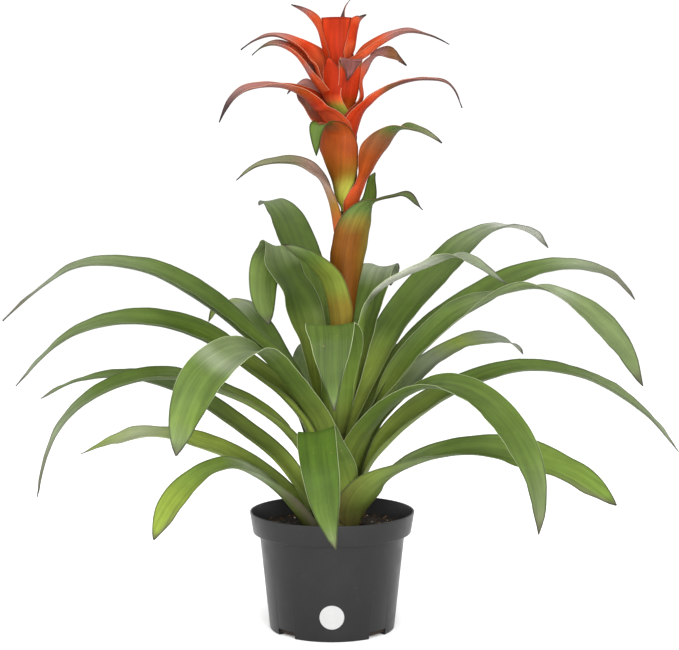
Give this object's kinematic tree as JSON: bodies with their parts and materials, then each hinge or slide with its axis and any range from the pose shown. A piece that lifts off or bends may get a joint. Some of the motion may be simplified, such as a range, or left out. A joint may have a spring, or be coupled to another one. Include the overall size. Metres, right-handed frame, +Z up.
{
  "type": "potted bromeliad",
  "caption": "Potted bromeliad: arching green strap leaves around an upright stalk of orange bracts, in a round tapered nursery pot with a rolled rim.",
  "frame": {"origin": "centre of the pot's flat underside", "axes": "+Z up along the pot's axis; +X to the right of someone who faces the pot's label, along the leaves' widest spread; -Y towards the label"},
  "size_m": [0.6498, 0.4208, 0.5994],
  "materials": {
    "pot": "satin",
    "soil": "matte",
    "label": "satin",
    "stem": "satin",
    "leaf_lower": "satin",
    "leaf_upper": "satin",
    "stalk_leaf": "satin",
    "bract_lower": "satin",
    "bract_upper": "satin"
  },
  "bodies": {
    "root": {"pot": "pot", "soil": "soil", "label": "label", "stem": "stem", "leaf_01": "leaf_lower", "leaf_02": "leaf_lower", "leaf_03": "leaf_lower", "leaf_04": "leaf_lower", "leaf_05": "leaf_lower", "leaf_06": "leaf_lower", "leaf_07": "leaf_upper", "leaf_08": "leaf_upper", "leaf_09": "leaf_upper", "leaf_10": "leaf_upper", "leaf_11": "leaf_upper", "leaf_12": "leaf_upper", "leaf_13": "leaf_upper", "leaf_14": "leaf_upper", "leaf_15": "leaf_upper", "leaf_16": "leaf_upper", "leaf_17": "leaf_upper", "leaf_18": "leaf_upper", "leaf_19": "leaf_upper", "leaf_20": "leaf_upper", "leaf_21": "leaf_upper", "leaf_22": "leaf_upper", "leaf_23": "leaf_upper", "leaf_24": "leaf_upper", "leaf_25": "leaf_upper", "bract_01": "stalk_leaf", "bract_02": "stalk_leaf", "bract_03": "stalk_leaf", "bract_04": "bract_lower", "bract_05": "bract_lower", "bract_06": "bract_lower", "bract_07": "bract_lower", "bract_08": "bract_lower", "bract_09": "bract_upper", "bract_10": "bract_upper", "bract_11": "bract_upper", "bract_12": "bract_upper", "bract_13": "bract_upper", "bract_14": "bract_upper", "bract_15": "bract_upper", "bract_16": "bract_upper", "bract_17": "bract_upper", "bract_18": "bract_upper", "bract_19": "bract_upper", "bract_20": "bract_upper", "bract_21": "bract_upper", "bract_22": "bract_upper"}
  },
  "joints": []
}
